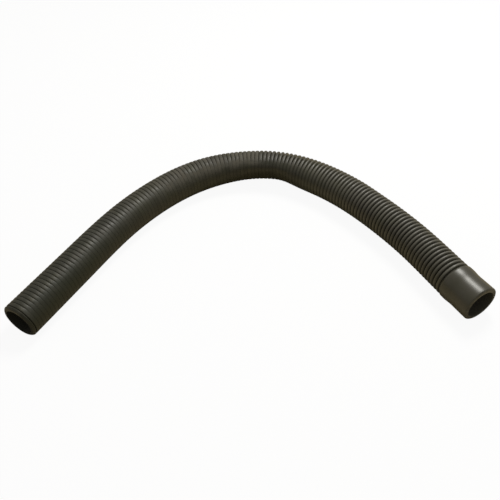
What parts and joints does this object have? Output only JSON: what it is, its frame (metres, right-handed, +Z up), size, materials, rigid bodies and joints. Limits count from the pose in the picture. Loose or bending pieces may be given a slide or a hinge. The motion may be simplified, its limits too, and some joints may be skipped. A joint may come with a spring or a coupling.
{
  "type": "vacuum hose",
  "caption": "Dark ribbed suction hose bent into a loose arch with a slight kink, open at both ends, with a smooth slip-on cuff on one end and the other end cut square",
  "frame": {"origin": "on the floor, under the middle of the whole part's box", "axes": "+Z up from the floor that the hose lies on; +X from the cut end's side to the cuff's side, along the longest side; +Y towards the top of the arch, away from both mouths"},
  "size_m": [0.6041, 0.3388, 0.0504],
  "materials": {
    "hose_rubber": "satin charcoal, dusty, darker in the grooves",
    "cuff_vinyl": "smooth satin charcoal, a little lighter than the hose"
  },
  "bodies": {
    "root": {"ribbed_hose": "hose_rubber", "end_cuff": "cuff_vinyl"}
  },
  "joints": []
}
